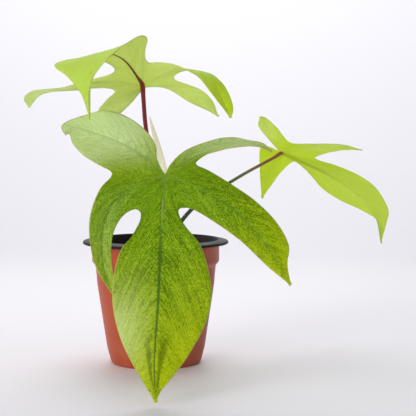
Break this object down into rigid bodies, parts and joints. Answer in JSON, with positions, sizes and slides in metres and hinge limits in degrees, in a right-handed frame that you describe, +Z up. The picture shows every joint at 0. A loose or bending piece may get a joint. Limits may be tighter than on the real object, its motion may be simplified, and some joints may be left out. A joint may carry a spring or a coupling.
{
  "type": "potted plant",
  "caption": "Young philodendron with deeply lobed, arching leaves on slender petioles, planted in a tapered two-tone plastic nursery pot.",
  "frame": {"origin": "centre of the pot's underside, on the surface it stands on", "axes": "+Z up, -Y towards the side that the front leaf hangs over"},
  "size_m": [0.2692, 0.2278, 0.2415],
  "materials": {
    "pot": "satin",
    "mix": "matte",
    "stem": "satin",
    "petiole_green": "satin",
    "petiole_red": "satin",
    "petiole_bronze": "satin",
    "sheath": "satin",
    "leaf_mature": "satin",
    "leaf_young": "satin"
  },
  "bodies": {
    "root": {"nursery_pot": "pot", "potting_mix": "mix", "stem": "stem", "petiole_front": "petiole_green", "petiole_top": "petiole_red", "petiole_right": "petiole_bronze", "leaf_sheath": "sheath", "blade_front": "leaf_mature", "blade_top": "leaf_young", "blade_right": "leaf_young"}
  },
  "joints": []
}
